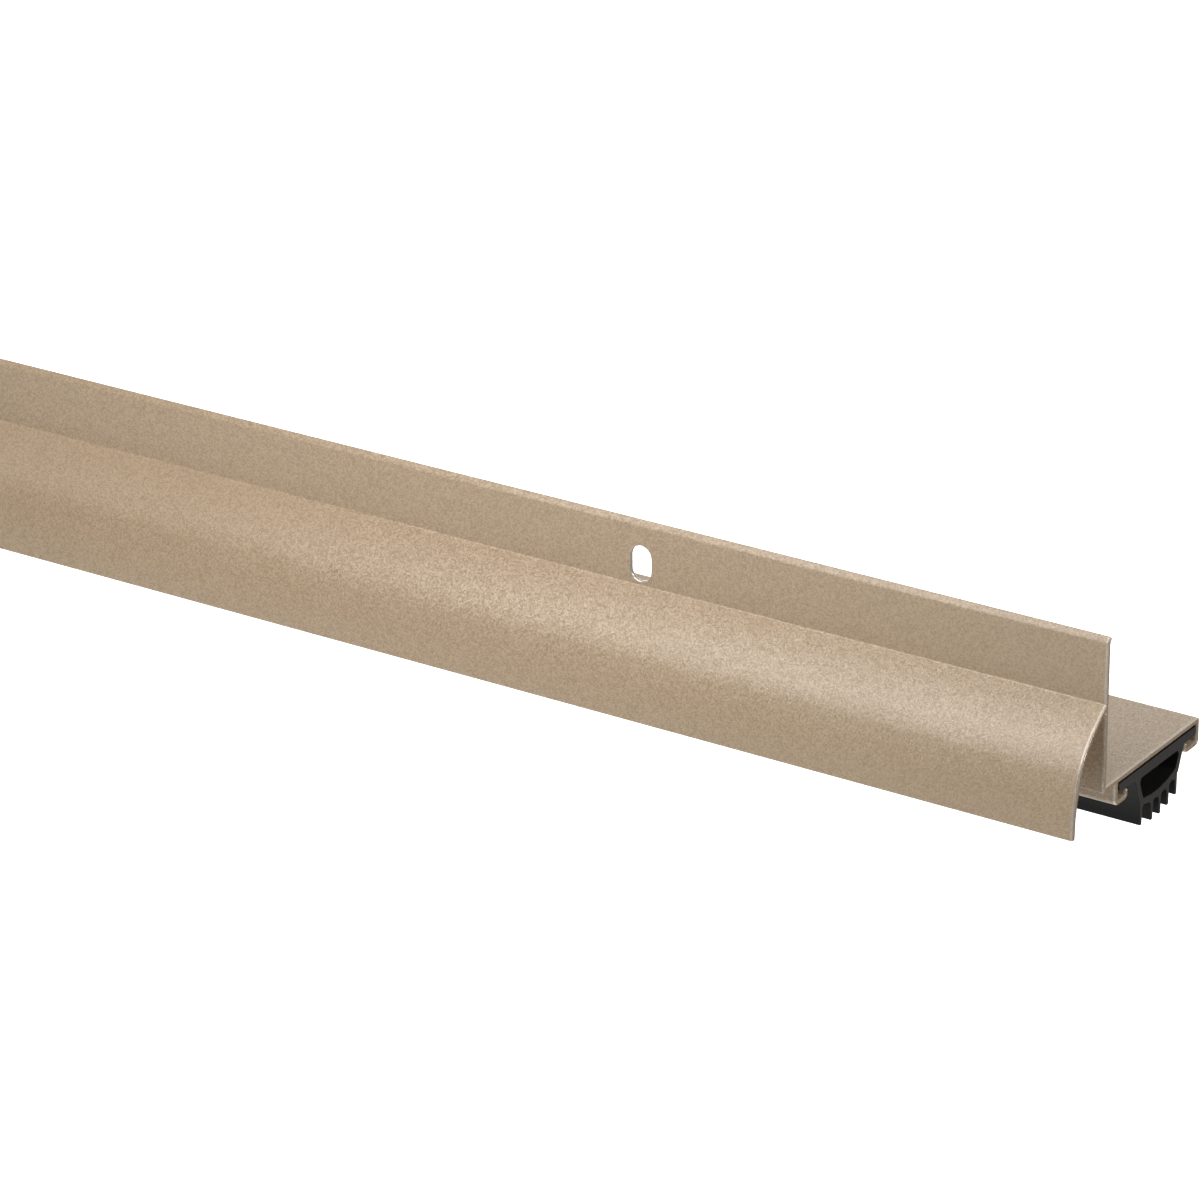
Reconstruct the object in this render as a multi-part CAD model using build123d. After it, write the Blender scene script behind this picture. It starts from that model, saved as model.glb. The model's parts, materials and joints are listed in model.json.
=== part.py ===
from build123d import *
import math
import os

os.makedirs("parts", exist_ok=True)

# Door bottom seal: an extruded aluminium rail with a drip cap, screwed to the door's outside face,
# and a finned hollow vinyl seal that slides into the channel under the door.
# X runs along the door's width, Y points in under the door and Z is up. The origin is the inside
# corner of leg and plate at mid length: the door's face is on Y = 0, its bottom edge on Z = 0.
# Both sections are drawn with Y across and Z up, and extruded along X. Millimetres and degrees.

# Rail: overall sizes
LENGTH = 914.4
WALL = 1.0
LEG_WALL = 0.8
LEG_HEIGHT = 31.75
PLATE_DEPTH = 38.1
CORNER_ROUND = 0.25

# Rail: lip along the leg's top, leaning back onto the door
LIP_LENGTH = 1.4
LIP_LEAN = 32.0
LIP_BEND = 0.8

# Rail: drip cap, from its root on the leg to its lower edge
CAP_ROOT_HEIGHT = 17.4
CAP_ROOT_ROUND = 0.5
CAP_SLOPE = 34.0
CAP_RUN_RADIUS = 40.5
CAP_RUN_ANGLE = 12.0
CAP_BEND_RADIUS = 15.5
CAP_BEND_ANGLE = 26.0
CAP_SIDE_RADIUS = 38.0
CAP_EDGE_DEPTH = 6.3

# Rail: channel under the plate, with one hook at each side
CHANNEL_SETBACK = 4.0
CHANNEL_DEPTH = 5.8
FRONT_HOOK_REACH = 5.0
REAR_HOOK_REACH = 5.8
HOOK_RISE = 2.25
HOOK_BEND = 0.8

# Rail: upright screw slots in the leg
SLOT_WIDTH = 4.8
SLOT_LENGTH = 7.6
SLOT_HEIGHT = 22.4
SLOT_END_DISTANCE = 106.0
SLOT_COUNT = 4

# Seal: base that rides on the hooks
SLIDE_CLEARANCE = 0.3
BASE_FRONT_ROUND = 1.4
BASE_REAR_ROUND = 0.4

# Seal: hollow bulb below the base
BULB_FRONT_GAP = 2.85
BULB_REAR_GAP = 0.4
BULB_LEAN = 21.8
BULB_WALL = 1.45
BULB_ROOF = 2.4
HOLLOW_ROUND = 0.9
FLOOR_DEPTH = 10.4
FLOOR_RADIUS = 24.0
FLOOR_OFFSET = 1.5

# Seal: fins that brush the threshold, one at the bulb's front corner and an even row behind it, with
# arched gaps. The front gap is measured in pitches of the row, and an arch of roundness 1 is a half circle.
FIN_LENGTH = 4.3
FIN_ROOT = 1.1
FIN_TIP = 0.8
FIN_TIP_ROUND = 0.3
FIN_INSET = 2.9
REAR_FINS = 4
FRONT_GAP_PITCHES = 1.36
ARCH_ROUNDNESS = 0.75

# Heights and edges that the two sections share
hook_top = HOOK_RISE - CHANNEL_DEPTH
hook_front_tip = CHANNEL_SETBACK + FRONT_HOOK_REACH
hook_rear_tip = PLATE_DEPTH - REAR_HOOK_REACH
base_top = -WALL - SLIDE_CLEARANCE
base_bottom = hook_top + SLIDE_CLEARANCE
bulb_front = hook_front_tip + BULB_FRONT_GAP
bulb_rear = hook_rear_tip - BULB_REAR_GAP
floor_low_y = (bulb_front + bulb_rear) / 2 - FLOOR_OFFSET
fin_front = bulb_front + FIN_INSET
fin_rear = bulb_rear - FIN_INSET
fin_pitch = (fin_rear - fin_front) / (REAR_FINS - 1 + FRONT_GAP_PITCHES)
arch_radius = ARCH_ROUNDNESS * (fin_pitch - FIN_ROOT) / 2


def polygon(*points):
    """Flat area inside a closed outline of straight sides."""
    return make_face(Polyline(*points, close=True))


def leg():
    """Upright flange against the door's face, with the lip bent back along its top."""
    middle = -LEG_WALL / 2
    lean = math.radians(LIP_LEAN)
    bend_z = LEG_HEIGHT - LIP_LENGTH * math.cos(lean) - LEG_WALL / 2 * math.sin(lean)
    lip_end = (middle + LIP_LENGTH * math.sin(lean), bend_z + LIP_LENGTH * math.cos(lean))
    path = FilletPolyline((middle, -WALL), (middle, bend_z), lip_end, radius=LIP_BEND)
    strip = trace(path, LEG_WALL)
    return fillet(strip.vertices().sort_by(Axis.Y)[-2:], CORNER_ROUND)


def drip_cap():
    """Curved apron from the leg's front: a sloping run, a bend and a long flat curve down to its lower edge."""
    slope = math.radians(CAP_SLOPE)
    root = (-LEG_WALL / 2, CAP_ROOT_HEIGHT)
    run = JernArc(root, (-math.cos(slope), -math.sin(slope)), CAP_RUN_RADIUS, CAP_RUN_ANGLE)
    bend = JernArc(run @ 1, run % 1, CAP_BEND_RADIUS, CAP_BEND_ANGLE)
    steep = CAP_SLOPE + CAP_RUN_ANGLE + CAP_BEND_ANGLE
    drop = (bend @ 1).Y + CAP_EDGE_DEPTH
    edge_angle = math.degrees(math.acos(math.cos(math.radians(steep)) - drop / CAP_SIDE_RADIUS))
    side = JernArc(bend @ 1, bend % 1, CAP_SIDE_RADIUS, edge_angle - steep)
    strip = trace([run, bend, side], WALL)
    return fillet(strip.vertices().sort_by(Axis.Y)[:2], CORNER_ROUND)


def plate():
    """Flat flange under the door's bottom edge, from the leg's front to the channel's back."""
    return polygon((-LEG_WALL, 0), (PLATE_DEPTH, 0), (PLATE_DEPTH, -WALL), (-LEG_WALL, -WALL))


def channel_hook(wall_face, tip_face, inward):
    """One side of the channel: a wall, a flange that points inward (+1 or -1) and a rounded raised tip."""
    half = WALL / 2
    wall_y = wall_face + inward * half
    flange_z = half - CHANNEL_DEPTH
    tip = (tip_face - inward * half, hook_top - half)
    path = FilletPolyline((wall_y, -half), (wall_y, flange_z), (tip[0], flange_z), tip, radius=HOOK_BEND)
    return trace(path, WALL) + Pos(*tip) * Circle(half)


def rail_section():
    """The whole aluminium extrusion, with rounds where the cap leaves the leg and two eased outer corners."""
    front_hook = channel_hook(CHANNEL_SETBACK, hook_front_tip, 1)
    rear_hook = channel_hook(PLATE_DEPTH, hook_rear_tip, -1)
    section = leg() + drip_cap() + plate() + front_hook + rear_hook
    cap_root = section.vertices().sort_by_distance((-LEG_WALL, CAP_ROOT_HEIGHT))[:2]
    section = fillet(cap_root, CAP_ROOT_ROUND)
    for corner in ((PLATE_DEPTH, 0), (-LEG_WALL, -WALL)):
        section = fillet(section.vertices().sort_by_distance(corner)[0], CORNER_ROUND)
    return section


def screw_slots():
    """Row of upright slots through the leg, evenly spaced between the two end ones."""
    spacing = (LENGTH - 2 * SLOT_END_DISTANCE) / (SLOT_COUNT - 1)
    slot = Pos(0, SLOT_HEIGHT) * SlotOverall(SLOT_LENGTH, SLOT_WIDTH, rotation=90)
    row = Sketch() + [place * slot for place in GridLocations(spacing, 0, SLOT_COUNT, 1)]
    return extrude(Plane.XZ * row, LEG_WALL)


def floor_height(y):
    """Z of the bulb's rounded underside at a place across the seal."""
    drop = math.sqrt(FLOOR_RADIUS**2 - (y - floor_low_y) ** 2)
    return FLOOR_RADIUS - FLOOR_DEPTH - drop


def seal_base():
    """Flat strip that fills the channel above the hooks, its lower edges rounded to slide in."""
    front = CHANNEL_SETBACK + WALL + SLIDE_CLEARANCE
    rear = PLATE_DEPTH - WALL - SLIDE_CLEARANCE
    strip = polygon((front, base_top), (rear, base_top), (rear, base_bottom), (front, base_bottom))
    front_round = min(BASE_FRONT_ROUND, base_top - base_bottom - BASE_REAR_ROUND)
    for corner, radius in (((front, base_bottom), front_round), ((rear, base_bottom), BASE_REAR_ROUND)):
        strip = fillet(strip.vertices().sort_by_distance(corner)[0], radius)
    return strip


def bulb():
    """Solid outline of the bulb: two leaning sides closed by a shallow round floor."""
    top = base_top - BULB_ROOF + BULB_WALL
    lean = math.tan(math.radians(BULB_LEAN))
    top_shift = (base_bottom - top) * lean
    low_shift = (base_bottom + FLOOR_DEPTH) * lean
    wedge = polygon(
        (bulb_front + top_shift, top),
        (bulb_rear - top_shift, top),
        (bulb_rear - low_shift, -FLOOR_DEPTH),
        (bulb_front + low_shift, -FLOOR_DEPTH),
    )
    return wedge & Pos(floor_low_y, FLOOR_RADIUS - FLOOR_DEPTH) * Circle(FLOOR_RADIUS)


def fin(y):
    """One tapered fin, rooted in the bulb's floor, with a rounded tip."""
    root_z = floor_height(y) + BULB_WALL / 2
    tip_z = floor_height(y) - FIN_LENGTH
    blade = polygon(
        (y - FIN_ROOT / 2, root_z),
        (y + FIN_ROOT / 2, root_z),
        (y + FIN_TIP / 2, tip_z),
        (y - FIN_TIP / 2, tip_z),
    )
    return fillet(blade.vertices().sort_by(Axis.Y)[:2], FIN_TIP_ROUND)


def seal_section():
    """The whole vinyl extrusion: base, hollow bulb and fins, with an arched gap between each two fins."""
    outer = bulb()
    hollow = offset(outer, -BULB_WALL, kind=Kind.INTERSECTION)
    hollow = fillet(hollow.vertices(), HOLLOW_ROUND)
    places = [fin_front] + [fin_rear - step * fin_pitch for step in reversed(range(REAR_FINS))]
    section = seal_base() + outer - hollow
    for place in places:
        section += fin(place)
    for place, next_place in zip(places, places[1:]):
        for y in (place + FIN_ROOT / 2, next_place - FIN_ROOT / 2):
            root = section.vertices().sort_by_distance((y, floor_height(y)))[0]
            section = fillet(root, arch_radius)
    return section


aluminium_rail = extrude(Plane.YZ * rail_section(), LENGTH / 2, both=True) - screw_slots()
vinyl_seal = extrude(Plane.YZ * seal_section(), LENGTH / 2, both=True)

export_step(aluminium_rail, "parts/aluminium_rail.step")
export_step(vinyl_seal, "parts/vinyl_seal.step")
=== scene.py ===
import json
import math

import bmesh
import bpy
from mathutils import Matrix, Vector


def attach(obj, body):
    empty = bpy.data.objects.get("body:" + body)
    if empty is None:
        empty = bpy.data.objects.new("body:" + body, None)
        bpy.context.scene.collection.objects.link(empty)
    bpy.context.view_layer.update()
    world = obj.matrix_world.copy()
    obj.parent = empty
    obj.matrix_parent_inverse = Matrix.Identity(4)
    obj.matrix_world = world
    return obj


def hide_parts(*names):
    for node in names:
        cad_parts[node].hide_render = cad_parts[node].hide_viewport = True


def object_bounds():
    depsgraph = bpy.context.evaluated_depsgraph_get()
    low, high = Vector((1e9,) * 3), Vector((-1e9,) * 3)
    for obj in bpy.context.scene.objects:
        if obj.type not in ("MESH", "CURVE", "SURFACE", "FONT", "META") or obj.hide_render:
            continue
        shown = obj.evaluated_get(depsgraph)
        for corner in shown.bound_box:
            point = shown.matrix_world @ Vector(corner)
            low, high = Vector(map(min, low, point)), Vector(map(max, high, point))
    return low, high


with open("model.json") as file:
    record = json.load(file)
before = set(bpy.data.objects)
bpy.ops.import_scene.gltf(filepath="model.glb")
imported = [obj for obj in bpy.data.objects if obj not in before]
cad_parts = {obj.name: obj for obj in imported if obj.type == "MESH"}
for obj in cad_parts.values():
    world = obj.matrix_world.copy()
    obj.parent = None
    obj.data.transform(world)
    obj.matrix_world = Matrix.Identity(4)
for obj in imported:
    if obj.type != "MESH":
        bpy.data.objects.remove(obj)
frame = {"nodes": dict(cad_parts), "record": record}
cad_low, cad_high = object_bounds()

# Aluminium rail. One extrusion: a leg that is screwed to the door, a drip cap, a plate under the door
# and a channel with two hooks. It is sawn to length, its slots are punched and the edges deburred, then it
# gets a thin champagne coat with metal flake. On the rolled edges and slot walls the coat is worn to pale
# metal, and that pale colour is partly a painted highlight along those edges.
MM = 0.001
SAME_PLACE = 1e-6
FLAT_ENOUGH = 0.01
CUT_ROLL = 0.7
CUT_EASE = 0.22
ROUND_STEPS = 4
SLOT_MARGIN = 2.5
SLOT_STEPS = 24
RIM_ROUND = 0.28
BURR_ROUND = 0.12
SHARP_TURN = math.radians(38)
# Shares of pale metal colour on the rolled edges and slot walls: partly wear, partly a painted highlight
EDGE_WEAR_AND_HIGHLIGHT = 0.45
WALL_WEAR_AND_HIGHLIGHT = 0.7
COAT_DEEP = (0.311, 0.218, 0.124, 1)
COAT_PALE = (0.481, 0.359, 0.239, 1)
COAT_ROUGH = (0.33, 0.43)
COAT_IOR = 1.8
CLOUDS_PER_METRE = 45.0
FLAKE_SIZE = 0.27
FLAKE_LEAN = 0.19
GLINT_FROM = 0.85
GLINT_METAL = 0.3
# The pale metal colour of those edges is partly a painted highlight
BARE_METAL_HIGHLIGHT = (0.8, 0.76, 0.7, 1)
BARE_ROUGH = (0.06, 0.16)
LINE_HEIGHT = 0.0001

quarter = [math.pi / 2 * step / ROUND_STEPS for step in range(ROUND_STEPS + 1)]


def end_outlines(node):
    """Outlines of a solid's sawn end in millimetres, as lists of (y, z) with the material on their left."""
    mesh = bmesh.new()
    mesh.from_mesh(node.data)
    bmesh.ops.remove_doubles(mesh, verts=mesh.verts, dist=SAME_PLACE)
    end = max(vert.co.x for vert in mesh.verts)
    cap = [face for face in mesh.faces if all(end - vert.co.x < SAME_PLACE for vert in face.verts)]
    after = {}
    for face in cap:
        for corner in face.loops:
            if sum(other in cap for other in corner.edge.link_faces) == 1:
                after[corner.vert] = corner.link_loop_next.vert
    outlines = []
    while after:
        vert = next(iter(after))
        outline = []
        while vert in after:
            outline.append(Vector((vert.co.y, vert.co.z)) / MM)
            vert = after.pop(vert)
        outlines.append(outline)
    mesh.free()
    return outlines


def inset(outline, depth):
    """An outline moved into the material by the same depth all round."""
    moved = []
    for k, point in enumerate(outline):
        way_in = (point - outline[k - 1]).normalized()
        way_out = (outline[(k + 1) % len(outline)] - point).normalized()
        first = Vector((-way_in.y, way_in.x))
        second = Vector((-way_out.y, way_out.x))
        moved.append(point + (first + second) * depth / (1 + first.dot(second)))
    return moved


def eased_ends(half, roll, ease):
    """Stations (x, inset depth) of the rounded edges of a bar's sawn ends, left end first."""
    right = [(half - roll * (1 - math.sin(turn)), ease * (1 - math.cos(turn))) for turn in quarter]
    left = [(-x, depth) for x, depth in reversed(right)]
    return left, right


def fill_flat(mesh, rings):
    """Closes the flat area between closed rings of vertices."""
    border = []
    for ring in rings:
        for k in range(len(ring)):
            border.append(mesh.edges.get((ring[k - 1], ring[k])))
    bmesh.ops.triangle_fill(mesh, edges=border, use_beauty=True)


def skin(mesh, rows):
    """Joins rows of vertices, each a closed ring, one after the other."""
    for row, next_row in zip(rows, rows[1:]):
        for k in range(len(row)):
            mesh.faces.new((row[k - 1], row[k], next_row[k], next_row[k - 1]))


def loft(mesh, outlines, stations):
    """Skins the outlines through all stations and closes both ends. Returns the rows of the first outline."""
    rings = []
    for outline in outlines:
        rows = [[mesh.verts.new((x, *point)) for point in inset(outline, depth)] for x, depth in stations]
        skin(mesh, rows)
        rings.append(rows)
    for end in (0, -1):
        fill_flat(mesh, [rows[end] for rows in rings])
    return rings[0]


def finished_piece(name, mesh):
    """Makes a piece of a mesh in millimetres, with crisp corners and smooth bends."""
    bmesh.ops.recalc_face_normals(mesh, faces=mesh.faces)
    for edge in mesh.edges:
        edge.smooth = edge.calc_face_angle(0) < SHARP_TURN
    for face in mesh.faces:
        face.smooth = True
    bmesh.ops.scale(mesh, vec=(MM, MM, MM), verts=mesh.verts)
    data = bpy.data.meshes.new(name)
    mesh.to_mesh(data)
    mesh.free()
    piece = bpy.data.objects.new(name, data)
    bpy.context.scene.collection.objects.link(piece)
    flats = piece.modifiers.new("flats_stay_flat", "WEIGHTED_NORMAL")
    flats.keep_sharp = True
    return piece


half_length = cad_high.x / MM
slots = [mount for mount in frame["record"]["mounts"] if mount["kind"] == "bolt_pattern"]
slot_radius = slots[0]["dims"]["hole_r_mm"]
slot_straight = slots[0]["dims"]["slot_length_mm"] / 2 - slot_radius
slot_z = slots[0]["pos_m"][2] / MM
slot_reach = slot_radius + SLOT_MARGIN
rail_outlines = end_outlines(frame["nodes"]["aluminium_rail"])

left_end, right_end = eased_ends(half_length, CUT_ROLL, CUT_EASE)
rail_stations = list(left_end)
slot_stations = []
for mount in slots:
    centre = mount["pos_m"][0] / MM
    slot_stations.append(len(rail_stations))
    rail_stations += [(centre - slot_reach, 0), (centre + slot_reach, 0)]
rail_stations += right_end

rail_mesh = bmesh.new()
worn_and_highlit = rail_mesh.verts.layers.float.new("worn_and_highlit")
rail_rows = loft(rail_mesh, rail_outlines, rail_stations)
# Rolled edges at the sawn ends get pale metal colour, partly wear and partly a painted highlight
for vert in rail_mesh.verts:
    from_end = half_length - abs(vert.co.x)
    vert[worn_and_highlit] = EDGE_WEAR_AND_HIGHLIGHT if FLAT_ENOUGH < from_end < CUT_ROLL - FLAT_ENOUGH else 0.0

# The leg's front and rear side, each as its y and its place in the outline
leg_sides = []
for k, point in enumerate(rail_outlines[0]):
    before = rail_outlines[0][k - 1]
    if min(point.y, before.y) < slot_z < max(point.y, before.y) and abs(point.x - before.x) < FLAT_ENOUGH:
        leg_sides.append((point.x, k))
(front_y, front_k), (rear_y, rear_k) = sorted(leg_sides)

# Each slot is punched from the front, which leaves a soft rim there and a smaller one behind
turns = [math.pi * step / SLOT_STEPS for step in range(SLOT_STEPS + 1)]
slot_turns = [(turn, slot_straight) for turn in turns] + [(math.pi + turn, -slot_straight) for turn in turns]
rims = [(RIM_ROUND * (1 - math.sin(turn)), front_y + RIM_ROUND * (1 - math.cos(turn))) for turn in quarter]
rims += [(BURR_ROUND * (1 - math.cos(turn)), rear_y - BURR_ROUND * (1 - math.sin(turn))) for turn in quarter]
for mount, station in zip(slots, slot_stations):
    centre = mount["pos_m"][0] / MM
    rows = []
    for offset, y in rims:
        radius = slot_radius + offset
        row = []
        for turn, lift in slot_turns:
            x = centre + radius * math.cos(turn)
            z = slot_z + lift + radius * math.sin(turn)
            row.append(rail_mesh.verts.new((x, y, z)))
        rows.append(row)
    skin(rail_mesh, rows)
    # Slot walls get more pale metal colour, partly wear and partly a painted highlight
    for row in rows[1:-1]:
        for vert in row:
            vert[worn_and_highlit] = WALL_WEAR_AND_HIGHLIGHT
    for rim, k in ((rows[0], front_k), (rows[-1], rear_k)):
        near, far = rail_rows[station], rail_rows[station + 1]
        corners = [near[k - 1], near[k], far[k], far[k - 1]]
        rail_mesh.faces.remove(rail_mesh.faces.get(corners))
        fill_flat(rail_mesh, [corners, rim])

rail = finished_piece("rail", rail_mesh)
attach(rail, "rail")
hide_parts("aluminium_rail")


def add(tree, kind, inputs, **settings):
    """One node of a tree, with its settings, and a value or another node's output on each named input."""
    node = tree.nodes.new(kind)
    for name, value in settings.items():
        setattr(node, name, value)
    for name, value in inputs.items():
        if isinstance(value, bpy.types.NodeSocket):
            tree.links.new(value, node.inputs[name])
        else:
            node.inputs[name].default_value = value
    return node


def work_out(tree, operation, first, second):
    """Two values, joined by a sum such as DIVIDE."""
    return add(tree, "ShaderNodeMath", {0: first, 1: second}, operation=operation).outputs[0]


def work_out_vector(tree, operation, first, second):
    """Two vectors, joined by a sum such as ADD."""
    return add(tree, "ShaderNodeVectorMath", {0: first, 1: second}, operation=operation).outputs[0]


def spread(tree, value, low, high, start=0.0, stop=1.0):
    """A value that goes from low to high while the given one goes from start to stop."""
    ranges = {"From Min": start, "From Max": stop, "To Min": low, "To Max": high}
    return add(tree, "ShaderNodeMapRange", {"Value": value, **ranges}).outputs["Result"]


def mix_colour(tree, share, first, second):
    """A colour between two others."""
    return add(tree, "ShaderNodeMix", {0: share, 6: first, 7: second}, data_type="RGBA").outputs[2]


def new_group(name, inputs, outputs):
    """An empty shader node group, with values for its inputs. Returns it with its inputs and outputs."""
    tree = bpy.data.node_groups.new(name, "ShaderNodeTree")
    for label, value in inputs.items():
        socket = tree.interface.new_socket(label, in_out="INPUT", socket_type="NodeSocketFloat")
        socket.default_value = value
    for label, kind in outputs.items():
        tree.interface.new_socket(label, in_out="OUTPUT", socket_type=kind)
    return tree, tree.nodes.new("NodeGroupInput").outputs, tree.nodes.new("NodeGroupOutput").inputs


def place_group(tree, group, **values):
    """A group set into a material, with its own values."""
    node = tree.nodes.new("ShaderNodeGroup")
    node.node_tree = group
    for name, value in values.items():
        node.inputs[name].default_value = value
    return node.outputs


def new_material(name):
    """An empty material. Returns it with its node tree and its Principled shader."""
    material = bpy.data.materials.new(name)
    material.use_nodes = True
    return material, material.node_tree, material.node_tree.nodes["Principled BSDF"]


# Grain: small cells, each with its own shade and tilt, as flakes lie in a coat. Size is in millimetres.
grain_outputs = {"Shade": "NodeSocketFloat", "Tilt": "NodeSocketVector"}
grain, entry, outlet = new_group("grain", {"Size": 0.4}, grain_outputs)
place = add(grain, "ShaderNodeTexCoord", {}).outputs["Object"]
per_metre = work_out(grain, "DIVIDE", 1 / MM, entry["Size"])
cells = add(grain, "ShaderNodeTexVoronoi", {"Vector": place, "Scale": per_metre}).outputs["Color"]
tilt = work_out_vector(grain, "SUBTRACT", cells, (0.5, 0.5, 0.5))
shade = add(grain, "ShaderNodeSeparateColor", {"Color": cells}).outputs["Red"]
grain.links.new(shade, outlet["Shade"])
grain.links.new(tilt, outlet["Tilt"])

# Drag lines: fine streaks along the bar, as an extrusion die leaves them. Both sizes are in millimetres.
line_inputs = {"Width": 0.5, "Length": 300}
drag_lines, entry, outlet = new_group("drag_lines", line_inputs, {"Height": "NodeSocketFloat"})
place = add(drag_lines, "ShaderNodeTexCoord", {}).outputs["Object"]
axes = add(drag_lines, "ShaderNodeSeparateXYZ", {"Vector": place}).outputs
stretch = work_out(drag_lines, "DIVIDE", entry["Width"], entry["Length"])
along = work_out(drag_lines, "MULTIPLY", axes["X"], stretch)
drawn = add(drag_lines, "ShaderNodeCombineXYZ", {"X": along, "Y": axes["Y"], "Z": axes["Z"]}).outputs[0]
per_metre = work_out(drag_lines, "DIVIDE", 1 / MM, entry["Width"])
streaks = add(drag_lines, "ShaderNodeTexNoise", {"Vector": drawn, "Scale": per_metre, "Detail": 3.0})
drag_lines.links.new(streaks.outputs["Fac"], outlet["Height"])

coat, tree, shader = new_material("champagne_coat")
flakes = place_group(tree, grain, Size=FLAKE_SIZE)
lines = place_group(tree, drag_lines, Width=2.2, Length=80)
place = add(tree, "ShaderNodeTexCoord", {}).outputs["Object"]
cloud_inputs = {"Vector": place, "Scale": CLOUDS_PER_METRE, "Detail": 2.0}
cloud = add(tree, "ShaderNodeTexNoise", cloud_inputs).outputs["Fac"]
# Worn edges and slot walls turn pale, metallic and smooth; the pale colour is partly a painted highlight
wear_and_highlight = add(tree, "ShaderNodeAttribute", {}, attribute_name="worn_and_highlit").outputs["Fac"]

colour = mix_colour(tree, flakes["Shade"], COAT_DEEP, COAT_PALE)
colour = mix_colour(tree, wear_and_highlight, colour, BARE_METAL_HIGHLIGHT)
tree.links.new(colour, shader.inputs["Base Color"])
rough = spread(tree, cloud, *COAT_ROUGH)
rubbed = spread(tree, cloud, *BARE_ROUGH)
rough = add(tree, "ShaderNodeMix", {0: wear_and_highlight, 2: rough, 3: rubbed}).outputs[0]
tree.links.new(rough, shader.inputs["Roughness"])
glint = spread(tree, flakes["Shade"], 0.0, GLINT_METAL, start=GLINT_FROM)
metal = work_out(tree, "MAXIMUM", glint, wear_and_highlight)
tree.links.new(metal, shader.inputs["Metallic"])

normal = add(tree, "ShaderNodeNewGeometry", {}).outputs["Normal"]
lean_inputs = {0: flakes["Tilt"], "Scale": FLAKE_LEAN}
lean = add(tree, "ShaderNodeVectorMath", lean_inputs, operation="SCALE").outputs[0]
leaned = work_out_vector(tree, "ADD", normal, lean)
leaned = add(tree, "ShaderNodeVectorMath", {0: leaned}, operation="NORMALIZE").outputs[0]
bump_inputs = {"Height": lines["Height"], "Normal": leaned, "Strength": 0.35, "Distance": LINE_HEIGHT}
bump = add(tree, "ShaderNodeBump", bump_inputs)
tree.links.new(bump.outputs["Normal"], shader.inputs["Normal"])
shader.inputs["IOR"].default_value = COAT_IOR
rail.data.materials.append(coat)

# Vinyl seal. A soft black extrusion: a flat base in the rail's channel, a hollow bulb and five fins.
# It is drawn into the channel from the end and cut off flush with the rail, which leaves a paler, duller cut.
VINYL_ROLL = 0.12
VINYL_EASE = 0.1
VINYL_COLOUR = (0.0085, 0.008, 0.0075, 1)
VINYL_CUT = (0.06, 0.056, 0.053, 1)
VINYL_ROUGH = (0.42, 0.6)
VINYL_SPECULAR = 0.2
CUT_FACING = (0.6, 0.9)

seal_mesh = bmesh.new()
left_end, right_end = eased_ends(half_length, VINYL_ROLL, VINYL_EASE)
loft(seal_mesh, end_outlines(frame["nodes"]["vinyl_seal"]), left_end + right_end)
seal = finished_piece("seal", seal_mesh)
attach(seal, "seal")
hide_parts("vinyl_seal")

vinyl, tree, shader = new_material("black_vinyl")
lines = place_group(tree, drag_lines, Width=0.7, Length=250)
facing = add(tree, "ShaderNodeTexCoord", {}).outputs["Normal"]
facing_x = add(tree, "ShaderNodeSeparateXYZ", {"Vector": facing}).outputs["X"]
end_on = add(tree, "ShaderNodeMath", {0: facing_x}, operation="ABSOLUTE").outputs[0]
cut = spread(tree, end_on, 0.0, 1.0, *CUT_FACING)
colour = mix_colour(tree, cut, VINYL_COLOUR, VINYL_CUT)
tree.links.new(colour, shader.inputs["Base Color"])
rough = spread(tree, lines["Height"], *VINYL_ROUGH)
tree.links.new(rough, shader.inputs["Roughness"])
bump = add(tree, "ShaderNodeBump", {"Height": lines["Height"], "Strength": 0.2, "Distance": LINE_HEIGHT})
tree.links.new(bump.outputs["Normal"], shader.inputs["Normal"])
shader.inputs["Specular IOR Level"].default_value = VINYL_SPECULAR
seal.data.materials.append(vinyl)

# Studio. A white floor well below the bar, seen by the camera alone and from above alone, a white backdrop,
# and soft light from below, as from a white table. Each half of the bar has three soft lights in front. The
# others stand above and behind, off each end, on the door's side, and low off the right end for its edges.
FLOOR_DROP = 0.35
FLOOR_REACH = 4.0
FLOOR_COLOUR = (0.93, 0.93, 0.93, 1)
FLOOR_ROUGH = 0.9
FLOOR_GLOW = 1.0
WHITE = (1, 1, 1, 1)
TABLE_SIDE = Vector((-0.3, -0.2, -1)).normalized()
TABLE_EDGE = 0.25
TABLE_LIGHT = 1.3
ROOM_LIGHT = 0.06
AIM_HEIGHT = 0.005

scene = bpy.context.scene
scene.view_settings.view_transform = "Standard"

floor_data = bpy.data.meshes.new("floor")
floor_square = ((-1, -1), (1, -1), (1, 1), (-1, 1))
floor_corners = [(x * FLOOR_REACH, y * FLOOR_REACH, -FLOOR_DROP) for x, y in floor_square]
floor_data.from_pydata(floor_corners, [], [(0, 1, 2, 3)])
floor = bpy.data.objects.new("floor", floor_data)
scene.collection.objects.link(floor)
pale, tree, shader = new_material("pale_floor")
shader.inputs["Base Color"].default_value = FLOOR_COLOUR
shader.inputs["Roughness"].default_value = FLOOR_ROUGH
shader.inputs["Emission Color"].default_value = WHITE
shader.inputs["Emission Strength"].default_value = FLOOR_GLOW
from_below = add(tree, "ShaderNodeNewGeometry", {}).outputs["Backfacing"]
clear = add(tree, "ShaderNodeBsdfTransparent", {}).outputs["BSDF"]
surface = add(tree, "ShaderNodeMixShader", {0: from_below, 1: shader.outputs["BSDF"], 2: clear}).outputs[0]
tree.links.new(surface, tree.nodes["Material Output"].inputs["Surface"])
floor.data.materials.append(pale)
floor.visible_diffuse = False
floor.visible_glossy = False
floor.visible_shadow = False

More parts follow.
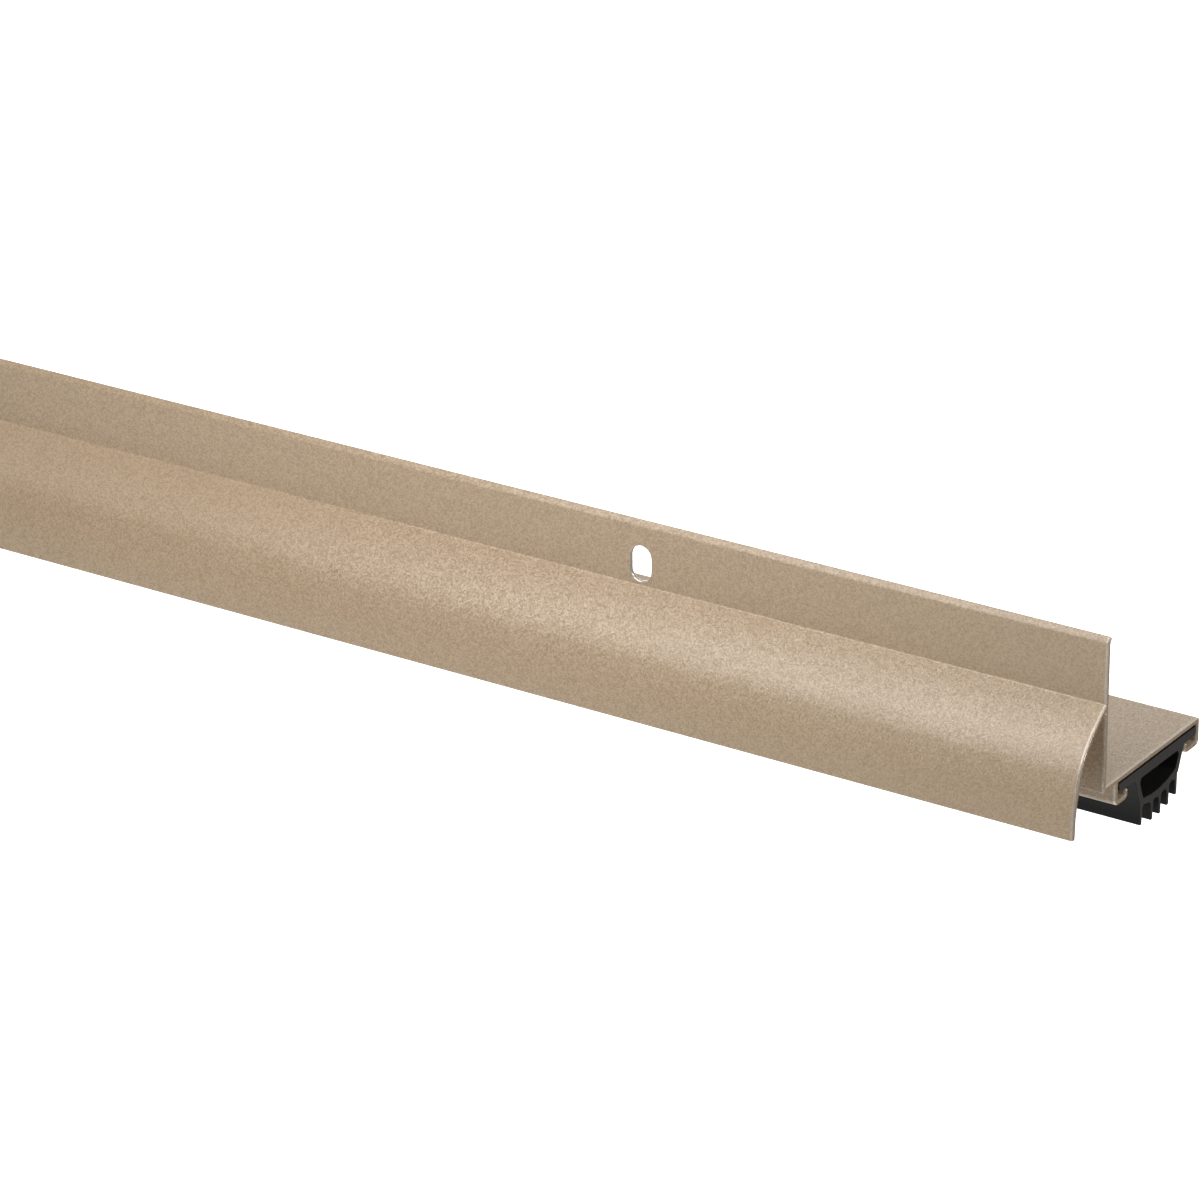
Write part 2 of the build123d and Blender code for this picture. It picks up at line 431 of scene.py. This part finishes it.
world = bpy.data.worlds.new("studio")
scene.world = world
world.use_nodes = True
tree = world.node_tree
background = tree.nodes["Background"]
way = add(tree, "ShaderNodeTexCoord", {}).outputs["Generated"]
dot = add(tree, "ShaderNodeVectorMath", {0: way, 1: TABLE_SIDE}, operation="DOT_PRODUCT")
fade = {"From Min": TABLE_EDGE, "From Max": 1.0, "To Min": ROOM_LIGHT, "To Max": TABLE_LIGHT}
fade["Value"] = dot.outputs["Value"]
fill = add(tree, "ShaderNodeMapRange", fade, interpolation_type="SMOOTHSTEP").outputs["Result"]
seen = add(tree, "ShaderNodeLightPath", {}).outputs["Is Camera Ray"]
glow = work_out(tree, "MAXIMUM", fill, seen)
background.inputs["Color"].default_value = WHITE
tree.links.new(glow, background.inputs["Strength"])


def softbox(name, aim_x, side, away, width, height, watts):
    """An area light that stands off to one side of a place on the bar and faces it."""
    light = bpy.data.lights.new(name, "AREA")
    light.shape = "RECTANGLE"
    light.size = width
    light.size_y = height
    light.energy = watts
    lamp = bpy.data.objects.new(name, light)
    way = Vector(side).normalized()
    lamp.location = Vector((aim_x, 0, AIM_HEIGHT)) + way * away
    lamp.rotation_mode = "QUATERNION"
    lamp.rotation_quaternion = way.to_track_quat("Z", "Y")
    lamp.visible_camera = False
    scene.collection.objects.link(lamp)


for half in (1, -1):
    softbox("key", half * 0.295, (0, -0.77, 0.64), away=0.25, width=0.275, height=0.275, watts=0.51)
    softbox("wide_key", half * 0.31, (0, -0.5, 0.87), away=0.4, width=0.44, height=0.44, watts=0.46)
    softbox("top", half * 0.4, (0, -0.42, 0.91), away=0.25, width=0.275, height=0.275, watts=0.1)
softbox("back", 0.33, (-0.25, 0.82, 0.5), away=1.2, width=1.0, height=1.0, watts=2.4)
softbox("end", 0.33, (0.75, 0.3, 0.6), away=1.3, width=0.4, height=0.4, watts=4.8)
softbox("far_end", -0.4, (-0.75, 0.3, 0.6), away=0.5, width=0.3, height=0.3, watts=0.7)
softbox("rear", 0, (-0.1, 1, -0.1), away=1.2, width=1.2, height=0.8, watts=7.0)
softbox("edge", 0.33, (0.86, -0.27, 0.4), away=1.3, width=0.2, height=0.45, watts=5.0)

# Camera. It stands off the bar's right end, in front of it and above, and looks along it through a long lens.
# It is turned to the left, tilted down and rolled a little, in degrees.
EYE = Vector((0.89815, -0.83159, 0.45094))
LENS = 162.36
SENSOR = 36.0
TURN = math.radians(33.82)
TILT = math.radians(23.70)
ROLL = math.radians(0.44)

up = Vector((0, 0, 1))
across = Vector((math.cos(TURN), math.sin(TURN), 0))
level = Vector((-math.sin(TURN), math.cos(TURN), 0))
ahead = level * math.cos(TILT) - up * math.sin(TILT)
down = -(up * math.cos(TILT) + level * math.sin(TILT))
right = across * math.cos(ROLL) + down * math.sin(ROLL)
below = down * math.cos(ROLL) - across * math.sin(ROLL)
camera_data = bpy.data.cameras.new("camera")
camera_data.sensor_width = SENSOR
camera_data.lens = LENS
camera = bpy.data.objects.new("camera", camera_data)
axes = Matrix((right, -below, -ahead)).transposed()
camera.matrix_world = Matrix.Translation(EYE) @ axes.to_4x4()
scene.collection.objects.link(camera)
scene.camera = camera
